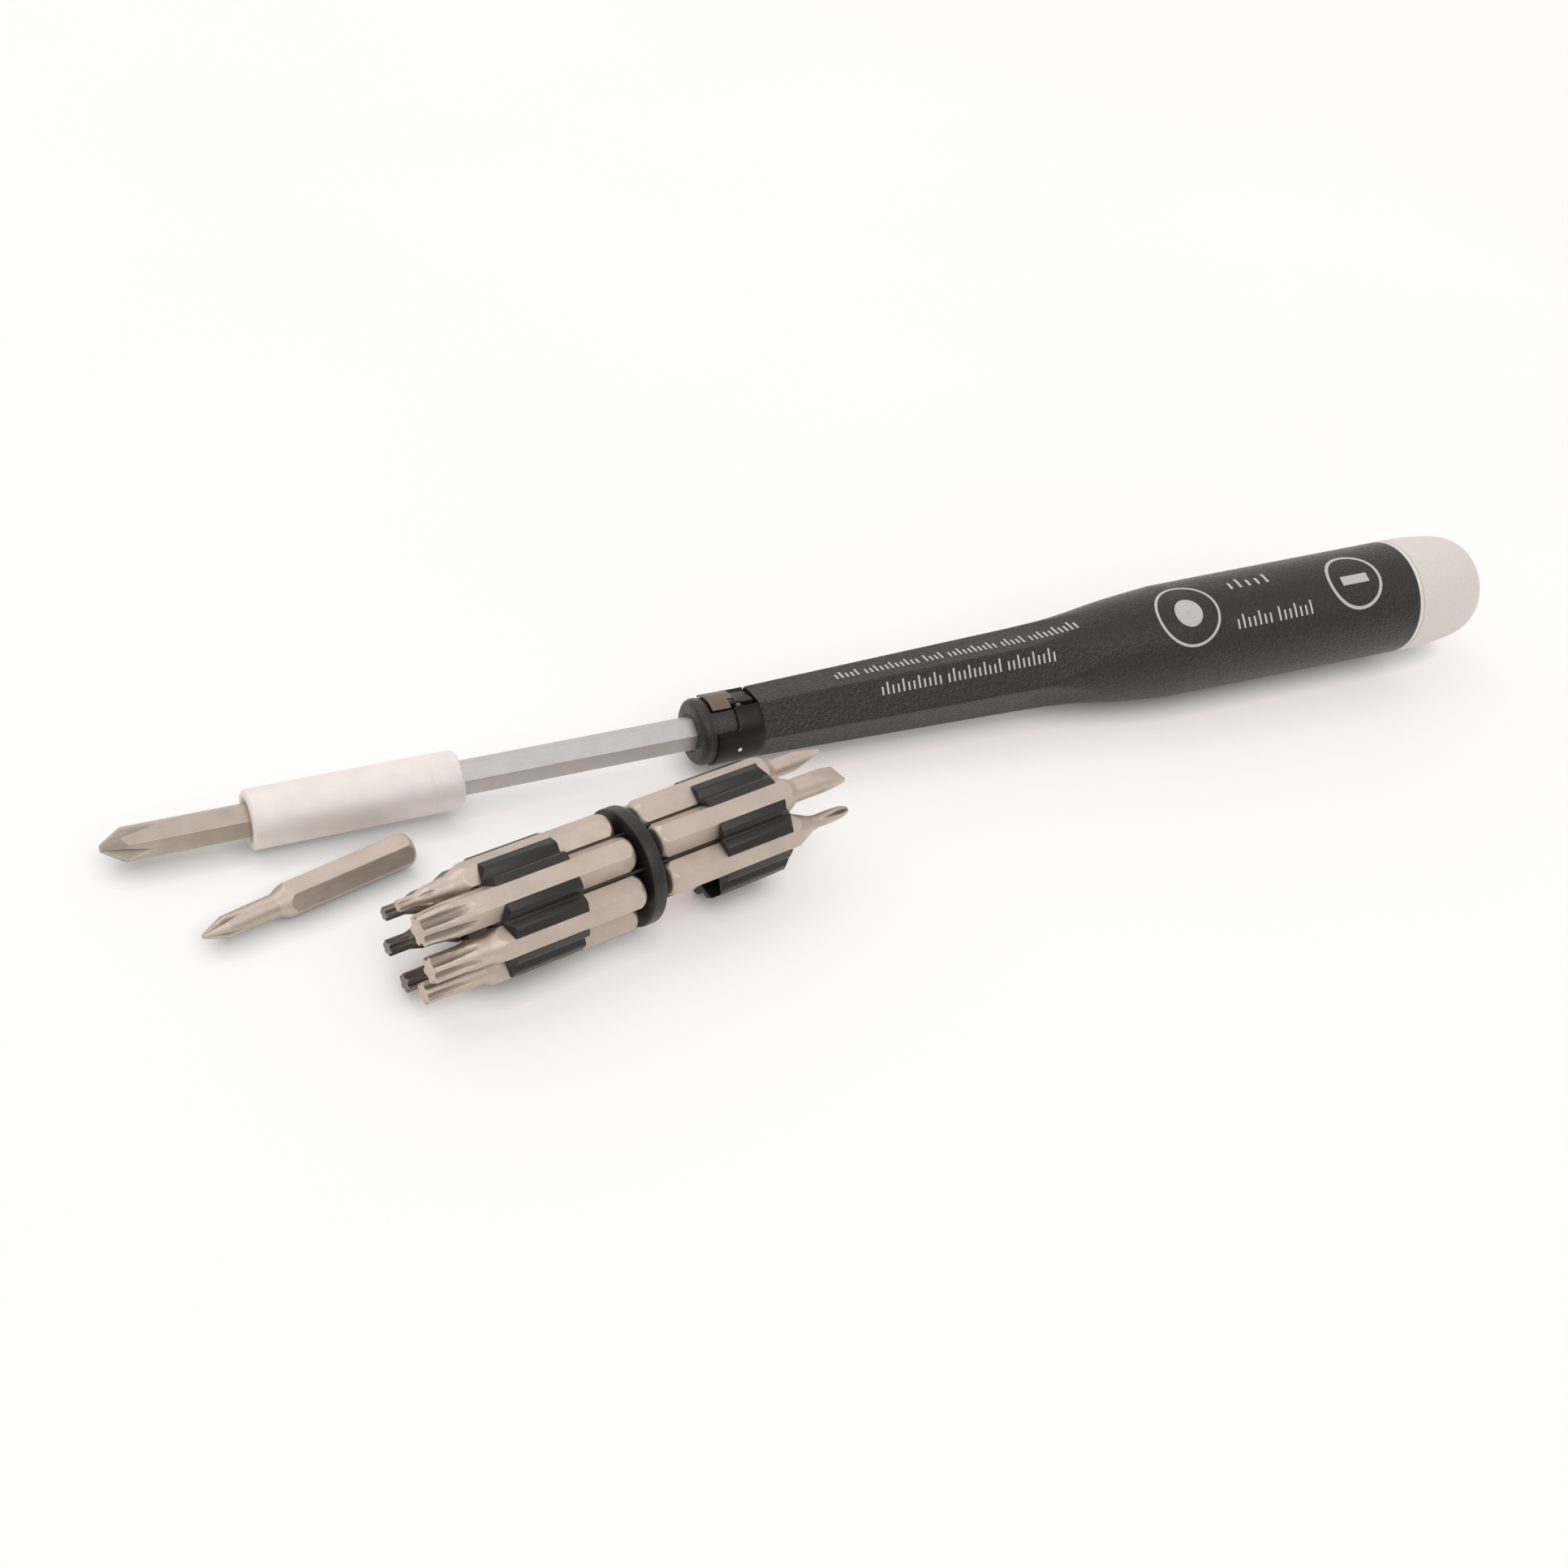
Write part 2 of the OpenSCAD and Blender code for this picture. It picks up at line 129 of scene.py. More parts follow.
def in_place(k, end):
    """Place k of the rack. end is 1 at the right and -1 at the left; z runs from tip to tail."""
    a = math.radians(FIRST_PLACE - k * PITCH)
    out = Vector((math.cos(a), math.sin(a), 0))
    spot = out * RING_R + Vector((0, 0, end * (TAIL_GAP + BIT_LEN)))
    return RACK @ basis(spot * MM, out, (0, 0, -end))


# ---------- materials ----------

OWN = "own_place"  # the mesh attribute that holds a piece's own coordinates, in millimetres
# the groove depth darkens the bit metal: painted shade in the grooves, together with their oxide
DEPTH = "groove_depth"  # the mesh attribute of a bit that says how deep a groove is there, 0 to 1


def nodes_of(name):
    mat = bpy.data.materials.new(name)
    mat.use_nodes = True
    tree = mat.node_tree
    shader = tree.nodes["Principled BSDF"]
    return mat, tree, shader


def add(tree, kind, links=None, **values):
    node = tree.nodes.new(kind)
    for key, value in values.items():
        if hasattr(node, key):
            setattr(node, key, value)
        else:
            node.inputs[key.replace("_", " ")].default_value = value
    for socket, source in (links or {}).items():
        tree.links.new(source, node.inputs[socket])
    return node


def coords(tree, scale=(1, 1, 1)):
    """A piece's own coordinates in millimetres, z along its axis, stretched by scale."""
    where = add(tree, "ShaderNodeAttribute", attribute_name=OWN)
    mapping = add(tree, "ShaderNodeMapping", {"Vector": where.outputs["Vector"]})
    mapping.inputs["Scale"].default_value = scale
    return mapping.outputs["Vector"]


def noise(tree, vector, scale, detail=3.0, roughness=0.5):
    node = add(tree, "ShaderNodeTexNoise", {"Vector": vector})
    node.inputs["Scale"].default_value = scale
    node.inputs["Detail"].default_value = detail
    node.inputs["Roughness"].default_value = roughness
    return node.outputs["Fac"]


def ramp(tree, source, low, high):
    node = add(tree, "ShaderNodeValToRGB", {"Fac": source})
    for element, place, colour in zip(node.color_ramp.elements, (0.35, 0.65), (low, high)):
        element.position = place
        element.color = (*colour, 1)
    return node.outputs["Color"]


def spread(tree, source, low, high, from_low=0.3, from_high=0.7):
    node = add(tree, "ShaderNodeMapRange", {"Value": source})
    node.inputs["From Min"].default_value = from_low
    node.inputs["From Max"].default_value = from_high
    node.inputs["To Min"].default_value = low
    node.inputs["To Max"].default_value = high
    return node.outputs["Result"]


def bump(tree, source, depth):
    """A bump of that depth, in millimetres."""
    node = add(tree, "ShaderNodeBump", {"Height": source})
    node.inputs["Strength"].default_value = 1.0
    node.inputs["Distance"].default_value = depth * MM
    return node.outputs["Normal"]


def tint(colour, factor):
    return tuple(min(1, c * factor) for c in colour)


def metal(name, colour, rough=0.34, grain=0.002, brush=(1, 1, 0.08), wear=0.12, metallic=1.0, groove=0.0):
    """Satin metal: cloudy tone, fine brushed lines, faint handling marks, grooves darkened with painted shade
    and oxide.
    """
    mat, tree, shader = nodes_of(name)
    shader.inputs["Metallic"].default_value = metallic
    cloud = noise(tree, coords(tree), 0.35, 4.0)
    fine = noise(tree, coords(tree, brush), 9.0, 3.0, 0.6)
    tone = ramp(tree, cloud, tint(colour, 1 - wear), tint(colour, 1 + wear * 0.5))
    # painted shade with oxide: the deeper the groove, the nearer the colour comes to a near-black copy of the
    # metal
    if groove:
        depth = add(tree, "ShaderNodeAttribute", attribute_name=DEPTH)
        factor = spread(tree, depth.outputs["Fac"], 0, groove, 0, 1)
        mixed = add(tree, "ShaderNodeMix", {"Factor": factor, "A": tone}, data_type="RGBA")
        mixed.inputs["B"].default_value = (*tint(colour, 0.18), 1)
        tone = mixed.outputs["Result"]
    tree.links.new(tone, shader.inputs["Base Color"])
    tree.links.new(spread(tree, fine, rough - 0.07, rough + 0.09), shader.inputs["Roughness"])
    tree.links.new(bump(tree, fine, grain), shader.inputs["Normal"])
    return mat


def plastic(name, colour, rough=0.5, grain=0.012, cell=3.2, contrast=0.25, specular=0.5):
    """Moulded plastic with a fine spark-eroded grain."""
    mat, tree, shader = nodes_of(name)
    shader.inputs["Specular IOR Level"].default_value = specular
    place = coords(tree)
    small = noise(tree, place, cell, 2.5, 0.55)
    large = noise(tree, place, 0.12, 3.0)
    mixed = add(tree, "ShaderNodeMix", {"Factor": large}, data_type="RGBA")
    for socket, darker, lighter in (("A", 1, 1), ("B", 0.6, 1.4)):
        low, high = tint(colour, 1 - contrast * darker), tint(colour, 1 + contrast * lighter)
        tree.links.new(ramp(tree, small, low, high), mixed.inputs[socket])
    tree.links.new(mixed.outputs["Result"], shader.inputs["Base Color"])
    tree.links.new(spread(tree, small, rough + 0.1, rough - 0.08), shader.inputs["Roughness"])
    tree.links.new(bump(tree, small, grain), shader.inputs["Normal"])
    return mat


BIT_TONE = (0.60, 0.51, 0.445)
mats = {
    "handle": plastic("handle_grain", (0.0098, 0.0084, 0.0074), 0.34, 0.2, 2.3, 0.5, 0.5),
    "cap": plastic("cap_satin", (0.70, 0.635, 0.60), 0.5, 0.006, 3.0, 0.03, 0.4),
    "ring": plastic("ring_satin", (0.74, 0.69, 0.66), 0.4, 0.003, 3.0, 0.03),
    "nose": plastic("nose_black", (0.017, 0.015, 0.0137), 0.38, 0.1, 2.8, 0.45, 0.5),
    "rack": plastic("rack_black", (0.0125, 0.0115, 0.0105), 0.36, 0.006, 4.0, 0.3, 0.5),
    "band": metal("band_bronze", (0.02, 0.0175, 0.0125), 0.36, 0.0015, metallic=0.7),
    "lever": metal("lever_bronze", (0.2, 0.155, 0.125), 0.42, 0.0015, metallic=0.85),
    # a darker copy of the lever metal: painted shade for the arm and hub down in the slot
    "arm": metal("lever_arm_painted_shade", (0.03, 0.026, 0.022), 0.42, 0.0015, metallic=0.6),
    "rivet": metal("rivet_steel", (0.8, 0.78, 0.75), 0.25, 0.0005),
    "pin": metal("pin_steel", (0.16, 0.15, 0.14), 0.35, 0.0005),
    "spring": metal("spring_steel", (0.2, 0.19, 0.18), 0.35, 0.0005),
    "blade": metal("blade_nickel", (0.585, 0.56, 0.545), 0.58, 0.0006, wear=0.03),
    "sleeve": metal("sleeve_nickel", (0.86, 0.80, 0.76), 0.66, 0.001, (0.1, 0.1, 1), 0.03, 0.5),
    "magnet": metal("magnet_nickel", (0.4, 0.4, 0.42), 0.25, 0.0005),
    "bit": metal("bit_nickel", BIT_TONE, 0.5, 0.0012, wear=0.07, groove=0.6),
    # the fitted bit's metal: the same bit metal, made darker
    "bit_darker_copy": metal("bit_nickel_darker_copy", tint(BIT_TONE, 0.84), 0.48, 0.0012, wear=0.08, groove=0.3),
    # a darker copy of the bit metal: painted shade for the bits that lie in the others' shadow
    "bit_painted_shade": metal("bit_nickel_painted_shade", tint(BIT_TONE, 0.42), 0.42, 0.0012, wear=0.1, groove=0.8),
    "print": plastic("print_grey", (0.50, 0.48, 0.46), 0.6, 0.003, 6.0, 0.12),
}

# ---------- mesh tools ----------


def finish_mesh(name, verts, faces, mat, place, sharp=35):
    mesh = bpy.data.meshes.new(name)
    mesh.from_pydata([tuple(v) for v in verts], [], [tuple(f) for f in faces])
    return finish_object(name, mesh, mat, place, sharp)


def finish_object(name, mesh, mat, place, sharp=35):
    """mesh is in millimetres in its own frame, and becomes an object in place, in metres."""
    bm = bmesh.new()
    bm.from_mesh(mesh)
    bmesh.ops.remove_doubles(bm, verts=bm.verts, dist=1e-4)
    bmesh.ops.recalc_face_normals(bm, faces=bm.faces)
    bm.to_mesh(mesh)
    bm.free()
    own = mesh.attributes.new(OWN, "FLOAT_VECTOR", "POINT")
    own.data.foreach_set("vector", np.array([v.co for v in mesh.vertices], np.float32).ravel())
    mesh.transform(place @ Matrix.Scale(MM, 4))
    mesh.shade_smooth()
    mesh.set_sharp_from_angle(angle=math.radians(sharp))
    mesh.materials.append(mat)
    piece = bpy.data.objects.new(name, mesh)
    scene.collection.objects.link(piece)
    return piece


def soften(points, radius, steps=3):
    """A polyline with its corners rounded."""
    points = [Vector(p) for p in points]
    out = [points[0]]
    for before, here, after in zip(points, points[1:], points[2:]):
        a, b = before - here, after - here
        reach = min(radius, a.length * 0.45, b.length * 0.45)
        a, b = here + a.normalized() * reach, here + b.normalized() * reach
        for i in range(steps + 1):
            t = i / steps
            out.append(a * (1 - t) ** 2 + here * 2 * t * (1 - t) + b * t * t)
    out.append(points[-1])
    return out


def tube(name, rows, thetas, mat, place, loop=False, sharp=35):
    """A closed skin through rows of (s, radius at each theta)."""
    verts, faces = [], []
    n = len(thetas)
    cos, sin = np.cos(thetas), np.sin(thetas)
    for s, r in rows:
        r = np.broadcast_to(r, (n,))
        verts += list(zip(r * cos, r * sin, np.broadcast_to(s, (n,))))
    count = len(rows)
    for i in range(count if loop else count - 1):
        a, b = i * n, (i + 1) % count * n
        for j in range(n):
            k = (j + 1) % n
            faces.append((a + j, a + k, b + k, b + j))
    if not loop:
        for row, first in ((0, 0), (count - 1, (count - 1) * n)):
            verts.append((0, 0, float(np.mean(rows[row][0]))))
            centre = len(verts) - 1
            faces += [(first + (j + 1) % n, first + j, centre) for j in range(n)]
    return finish_mesh(name, verts, faces, mat, place, sharp)


def circle(n, start=0.0):
    return np.radians(start) + np.linspace(0, 2 * np.pi, n, endpoint=False)


def polygon_radius(thetas, apothem, turn, sides=6, ease=0.0):
    """Radius of a regular polygon with a flat facing turn, in degrees, its corners eased."""
    step = 2 * np.pi / sides
    fold = (thetas - math.radians(turn) + step / 2) % step - step / 2
    near, far = apothem / np.cos(fold), apothem / np.cos(step - np.abs(fold))
    return near if not ease else near - ease * np.log1p(np.exp(-(far - near) / ease))


def hexagon(thetas, af, turn=0.0, ease=0.0):
    return polygon_radius(thetas, af / 2, turn, 6, ease)


def at(profile, s):
    return float(np.interp(s, [p[0] for p in profile], [p[1] for p in profile]))


# ---------- bits ----------

FULL = BIT_R + 0.02
TAIL = [(26.95, FULL), (27.62, 1.98), (27.85, 1.82), (28.0, 1.55)]
VEE_HALF_ANGLE = 45.0


def groove_round(thetas, centre, radius, count, turn=0.0):
    """Radius left by round grooves whose centres lie at that distance."""
    step = 2 * np.pi / count
    fold = (thetas - math.radians(turn) + step / 2) % step - step / 2
    inside = radius**2 - (centre * np.sin(fold)) ** 2
    cut = centre * np.cos(fold) - np.sqrt(np.maximum(inside, 0))
    return np.where((inside > 0) & (np.abs(fold) < np.pi / 2), cut, 9)


def groove_vee(thetas, root, turn=0.0):
    """Radius left by four V-shaped grooves."""
    fold = np.abs((thetas - math.radians(turn) + np.pi / 4) % (np.pi / 2) - np.pi / 4)
    slope = math.tan(math.radians(VEE_HALF_ANGLE))
    gap = np.cos(fold) * slope - np.sin(fold)
    return np.where(gap > 1e-3, root * slope / np.maximum(gap, 1e-3), 9)


def smooth_least(layers, ease):
    """The least of the layers, with the edges between them eased."""
    stack = np.stack([np.broadcast_to(v, layers[0].shape) for v in layers])
    least = stack.min(0)
    return least - ease * np.log(np.exp(-(stack - least) / ease).sum(0))


NEAR_CORNERS = [30 + 60 * k + m for k in range(6) for m in (-1.6, -0.8, 0.8, 1.6)]
BIT_ANGLES = np.radians(sorted({*np.arange(0, 360, 2.5), *NEAR_CORNERS}))


def bit(node, place, front, cut, cut_end, body_start, body=None, mat="bit", shade=1.0):
    """A bit: its front profile, what is cut from its front, then hexagon and tail.

    shade, 0 to 1, says how much of the cut's depth darkens the metal there, as painted shade and oxide.
    """
    profile = [tuple(p) for p in soften([*front, *TAIL], 0.14, 3)]
    hexed = hexagon(BIT_ANGLES, BIT_AF, 0, EDGE_EASE)
    fine_end = max(body_start + 0.9, cut_end + 0.6)
    marks = {round(p[0], 3) for p in profile}
    marks |= {round(v, 3) for v in np.arange(0.06, fine_end, 0.15)}
    marks |= {round(v, 3) for v in np.arange(26.8, 27.75, 0.08)}
    rows = []
    for s in sorted(marks):
        r = np.minimum(hexed, at(profile, s))
        if s <= cut_end:
            r = np.minimum(r, cut(s, BIT_ANGLES))
        rows.append((s, np.maximum(r, 0.02)))
    piece = tube(node + "_piece", rows, BIT_ANGLES, mats[mat], place, sharp=32)
    own = np.array([v.vector for v in piece.data.attributes[OWN].data])
    radius, turn = np.hypot(own[:, 0], own[:, 1]), np.arctan2(own[:, 1], own[:, 0])
    stations, radii = zip(*profile)
    full = np.minimum(hexagon(turn, BIT_AF), np.interp(own[:, 2], stations, radii))
    in_cut = (own[:, 2] > 0.01) & (own[:, 2] < cut_end)
    depth = shade * np.clip((full - radius - 0.04) / 0.3, 0, 1) * in_cut
    attribute = piece.data.attributes.new(DEPTH, "FLOAT", "POINT")
    attribute.data.foreach_set("value", depth.astype(np.float32))
    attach(piece, body or node)
    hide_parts(node)


def star_cut(tip_r, neck_r, run):
    """Six grooves that keep their depth at first and then run out in a curve."""
    groove, root = 0.36 * tip_r, 0.72 * tip_r

    def cut(s, t):
        rise = 0.25 * s / run + 0.75 * (s / run) ** 3.0
        return groove_round(t, root + groove + (neck_r + 0.08 - root) * rise, groove, 6)

    return cut


def vee_cut(root, lean, turn=0.0):
    """Four V-shaped grooves that get shallower by lean, in degrees."""

    def cut(s, t):
        return groove_vee(t, root + s * math.tan(math.radians(lean)), turn)

    return cut


def slot_cut(edge, lean):
    """Two flats that leave a blade of half thickness edge, which thickens by lean, in degrees."""

    def cut(s, t):
        half = edge + s * math.tan(math.radians(lean))
        return half / np.maximum(np.abs(np.cos(t - math.radians(SLOT_TURN))), 1e-3)

    return cut


NECK = 2.9
SLOT_TURN = 30  # degrees from the rack's radius to the thin way of a slotted blade
# name, place, tip diameter, end of the straight tip, neck diameter, its end, start of the hexagon
STARS = [
    ("star_bit_5", 0, 1.42, 2.2, NECK, 6.6, 8.6),
    ("star_bit_6", 1, 1.70, 2.4, NECK, 6.6, 8.6),
    ("star_bit_7", 2, 1.99, 2.6, NECK, 6.6, 8.6),
    ("star_bit_8", 3, 2.31, 3.0, NECK, 6.6, 8.8),
    ("star_bit_10", 4, 2.74, 3.6, NECK, 7.4, 9.0),
    ("star_bit_15", 5, 3.27, 3.8, 3.5, 7.4, 9.2),
    ("star_bit_20", 6, 3.86, 0.8, 4.2, 3.0, 4.4),
]
PAINTED_SHADE_PLACES = (1, 2, 3)  # the star bits in the shade of the others, given a darker copy of the bit metal as painted shade
for name, k, tip_d, tip_end, neck_d, neck_end, body_start in STARS:
    r = tip_d / 2
    run = max(tip_end + 2.6, 3.9 * r, 5.2)
    neck_r = neck_d / 2
    front = [
        (0, r - 0.08), (0.1, r), (tip_end, r), (tip_end + 1.6, min(r + 0.5, neck_r)),
        (neck_end - 0.1, neck_r), (body_start, FULL),
    ]
    tone = "bit_painted_shade" if k in PAINTED_SHADE_PLACES else "bit"
    bit(name, in_place(k, -1), front, star_cut(r, neck_r, run), run + 0.2, body_start, mat=tone)

# name, place, blade width, blade thickness
SLOTS = [
    ("slot_bit_25", 0, 2.4, 0.4),
    ("slot_bit_15", 1, 1.5, 0.28),
    ("slot_bit_20", 2, 2.0, 0.34),
    ("slot_bit_30", 6, 3.0, 0.5),
]
for name, k, width, thick in SLOTS:
    r = width / 2
    run = 2.2 + 0.75 * width
    lean = math.degrees(math.atan((max(r, 1.0) - thick / 2) / run))
    front = [(0, r - 0.05), (0.1, r), (run, r), (run + 0.6, max(r, 1.1)), (7.4, max(r, 1.2)), (9, FULL)]
    bit(name, in_place(k, 1), front, slot_cut(thick / 2, lean), run + 1, 9, shade=0.12)

front = [(0, 0.26), (0.25, 0.48), (1.3, 0.86), (3, 0.88), (5, 0.84), (6, 1), (9, FULL)]
bit("fine_cross_bit", in_place(5, 1), front, vee_cut(0.14, 9, 40), 5.2, 9)
front = [(0, 0.2), (0.1, 0.3), (2.9, 1.4), (3.3, 1.4), (9.4, NECK / 2), (11.3, FULL)]
bit("loose_cross_bit", LOOSE, front, vee_cut(0.2, 13), 7, 11.3, "loose_bit")
fitted_place = DRIVER @ Matrix.Rotation(math.radians(FITTED_TURN - 30), 4, "Z")
front = [(0, 0.4), (0.12, 0.52), (3.0, FULL)]
bit("fitted_cross_bit", fitted_place, front, vee_cut(0.34, 15, 95), 9, 9, "fitted_bit", "bit_darker_copy")

# ---------- turned and extruded pieces ----------


def stand_for(piece, body, slot, *nodes):
    """The piece moves with body and stands for those CAD nodes; slot is not used."""
    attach(piece, body)
    if nodes:
        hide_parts(*nodes)


def sector_angles(start, count, offsets):
    """Angles of count equal sectors, each with the same offsets from its middle."""
    step = 360 / count
    middles = [start + k * step for k in range(count)]
    turns = {round((m + side * o) % 360, 4) for m in middles for o in offsets for side in (-1, 1)}
    return np.radians(sorted(turns))


# the handle: a turned shape with six flats that run out into its round rear
FLAT_FRONT, FLAT_SLOPE, FLAT_ANGLE, FLAT_END = 4.1, 1.37, 18.0, 124.0
SCALLOP_R, SCALLOP_ARC = 53.0, 24.0
HANDLE_PROFILE = [
    (HANDLE_FRONT, 4.58), (83.88, 4.68), (84.1, 4.72), (124, 5.82), (129, 5.98), (132, 6.2), (135, 6.55),
    (138, 6.97), (141, 7.35), (145.3, 7.74), (149, 8.05), (158, 8.15), (174, 8.28), (190.6, 8.4),
    (190.8, 8.37), (HANDLE_REAR, 8.28),
]


def flat_distance(s):
    """Distance from the axis to the six flats at station s."""
    slope = math.radians(FLAT_SLOPE)
    if s <= FLAT_END:
        return FLAT_FRONT + (s - HANDLE_FRONT) * math.tan(slope)
    start = FLAT_FRONT + (FLAT_END - HANDLE_FRONT) * math.tan(slope)
    centre_x, centre_s = start + SCALLOP_R * math.cos(slope), FLAT_END - SCALLOP_R * math.sin(slope)
    if s > centre_s + SCALLOP_R * math.sin(slope + math.radians(SCALLOP_ARC)):
        return 12.0
    return centre_x - math.sqrt(SCALLOP_R**2 - (s - centre_s) ** 2)


def handle_radius(s, thetas, ease=0.07):
    around = np.full(len(thetas), at(HANDLE_PROFILE, s))
    flats = polygon_radius(thetas, flat_distance(s), FLAT_ANGLE, 6, ease)
    return smooth_least([around, flats], ease * 0.6)


thetas = sector_angles(FLAT_ANGLE, 6, [*range(0, 27, 2), 27, 28, 28.6, 29.2, 29.6, 30])
rims = {HANDLE_FRONT, 83.88, 83.98, 84.1, 190.6, 190.7, 190.8, 190.86, HANDLE_REAR}
outer = sorted(rims | {round(v, 3) for v in np.arange(84.5, 190.5, 0.7)})
rows = [(142.5, 0.05), (142.5, 2.6), (96.1, 2.6), (96.1, 3.25), (HANDLE_FRONT, 3.25)]
rows += [(s, handle_radius(s, thetas)) for s in outer]
rows += [
    (HANDLE_REAR, 7.98), (190.84, PLUG_R), (186.8, PLUG_R), (186.8, STORE_R),
    (148.5, STORE_R), (144.4, 6.95), (144.4, 0.05),
]
stand_for(tube("handle", rows, thetas, mats["handle"], DRIVER), "handle", "handle_plastic", "handle_body")

# nose piece, with the pocket for the tab and the slot for the lever's arm
LEVER_ANGLE, TAB_FRONT, BAND_FRONT, BAND_R, SHEET = 72.0, 77.15, 80.1, 4.68, 0.32
POCKET_FRONT, POCKET_REAR, POCKET_HALF_ANGLE, POCKET_R = 76.87, 80.0, 35.5, 4.0
ARM_SLOT_FRONT, ARM_SLOT_HALF, ARM_SLOT_FLOOR = 77.05, 1.75, 2.58
NOSE_PROFILE = [
    (NOSE_FRONT, 3.72), (75.16, 3.9), (75.3, 4.1), (75.5, 4.3), (75.85, 4.42), (76.4, 4.42),
    (76.55, 4.36), (76.62, 4.33), (HANDLE_FRONT, 4.33),
]
NOSE_STATIONS = [
    NOSE_FRONT, 75.16, 75.23, 75.3, 75.4, 75.5, 75.62, 75.74, 75.85, 76.1, 76.4, 76.5, 76.58, 76.65,
    76.86, 76.88, 77.04, 77.06, 78, 79, 79.99, 80.01, 81, 82, 83, HANDLE_FRONT,
]


def nose_radius(s, thetas):
    r = np.full(len(thetas), at(NOSE_PROFILE, s))
    off = (np.degrees(thetas) - LEVER_ANGLE + 180) % 360 - 180
    if POCKET_FRONT < s < POCKET_REAR:
        r = np.where(np.abs(off) < POCKET_HALF_ANGLE, np.minimum(r, POCKET_R), r)
    if s > ARM_SLOT_FRONT:
        floor_r = ARM_SLOT_FLOOR / np.maximum(np.cos(np.radians(off)), 0.01)
        side = np.abs(np.sin(np.radians(off))) * floor_r
        r = np.where((np.abs(off) < 90) & (side < ARM_SLOT_HALF), np.minimum(r, floor_r), r)
    return r


# angles close together at the walls of the slot and of the pocket
walls = [side * v for side in (-1, 1) for v in (34.09, 34.11, 35.49, 35.51)]
thetas = np.radians(sorted({round(LEVER_ANGLE + v, 3) for v in [*np.arange(-180, 180, 2.5), *walls]}))
guide = hexagon(thetas, HOLE_AF, BLADE_TURN - 30)
rows = [(95.8, 2.46), (84.3, 2.46), (84.3, guide), (75.22, guide), (75.22, 2.5), (NOSE_FRONT, 2.56)]
rows += [(s, nose_radius(s, thetas)) for s in NOSE_STATIONS]
rows += [(HANDLE_FRONT, 3.22), (95.4, 3.22), (95.8, 2.9)]
nose = tube("nose", rows, thetas, mats["nose"], DRIVER, loop=True, sharp=40)
stand_for(nose, "handle", "nose_coating", "nose_piece")


def ribbon(name, angles, front, rear, mat, bevel=0.07, steps=6):
    """Curved sheet metal round the driver's axis. front and rear give its edges at an angle.

    angles are pairs of an angle from the lever and whether the sheet ends there.
    """
    verts, faces = [], []
    inner = BAND_R - SHEET
    for a, edge in angles:
        f, b = front(a), rear(a)
        section = [(f, inner), (f, BAND_R - bevel), (f + bevel * 0.4, BAND_R - bevel * 0.3)]
        section += [(f + bevel + (b - f - 2 * bevel) * i / steps, BAND_R) for i in range(steps + 1)]
        section += [(b - bevel * 0.4, BAND_R - bevel * 0.3), (b, BAND_R - bevel), (b, inner)]
        t = math.radians(LEVER_ANGLE + a)
        for s, r in section:
            r = min(r, BAND_R - bevel) if edge else r
            verts.append((r * math.cos(t), r * math.sin(t), s))
    n = len(section)
    for i in range(len(angles) - 1):
        for j in range(n):
            k = (j + 1) % n
            faces.append((i * n + j, i * n + k, (i + 1) * n + k, (i + 1) * n + j))
    faces += [tuple(range(n)), tuple(range((len(angles) - 1) * n, len(angles) * n))]
    return finish_mesh(name, verts, faces, mat, DRIVER, 50)


# past ARM_EDGE degrees from the lever the band reaches forward, and its corner there is round
BAND_END, ARM_EDGE, CORNER = 33.5, 74, 0.5
corner_turn = math.degrees(2 * math.asin(CORNER / BAND_R / 2))


def band_edge(a):
    inside = ARM_EDGE - min(a, 360 - a)
    if inside < 0:
        return TAB_FRONT
    if inside >= corner_turn:
        return BAND_FRONT
    along = 1 - inside / corner_turn
    return BAND_FRONT - CORNER + CORNER * math.sqrt(max(0, 1 - along * along))


round_part = np.linspace(ARM_EDGE - corner_turn, 73.99, 9)
half = [BAND_END, 34.2, *np.arange(36, 67.9, 2), *round_part, 74.01, 74.7, *np.arange(76, 180, 3)]
angles = [(a, a == BAND_END) for a in half] + [(360 - a, a == BAND_END) for a in reversed(half)]
band = ribbon("clip_band_sheet", angles, band_edge, lambda a: HANDLE_FRONT - 0.04, mats["band"])
stand_for(band, "handle", "band_steel", "clip_band")

# release lever: the tab, its tongue, and the arm in the slot
TONGUE_HALF_ANGLE = 14


def tab_rear(a):
    return 80.6 if abs(a) < TONGUE_HALF_ANGLE else 79.8


near = [13.98, 14.02, *np.arange(16, 31, 2), 32.4, 33.2]
turns = [*(-a for a in reversed(near)), *np.arange(-12, 13, 2), *near]
angles = [(a, abs(a) > 33) for a in turns]
tab = ribbon("release_tab", angles, lambda a: TAB_FRONT, tab_rear, mats["lever"])
stand_for(tab, "lever", "lever_steel", "release_lever")


def block(name, low, high, mat, place, edge=0.08):
    """A block between two corners, with its edges rounded."""
    bm = bmesh.new()
    bmesh.ops.create_cube(bm, size=1)
    for v in bm.verts:
        v.co = Vector([low[i] + (v.co[i] + 0.5) * (high[i] - low[i]) for i in range(3)])
    bmesh.ops.bevel(bm, geom=bm.edges, offset=edge, segments=2, affect="EDGES", profile=0.5)
    mesh = bpy.data.meshes.new(name)
    bm.to_mesh(mesh)
    bm.free()
    return finish_object(name, mesh, mat, place, 30)


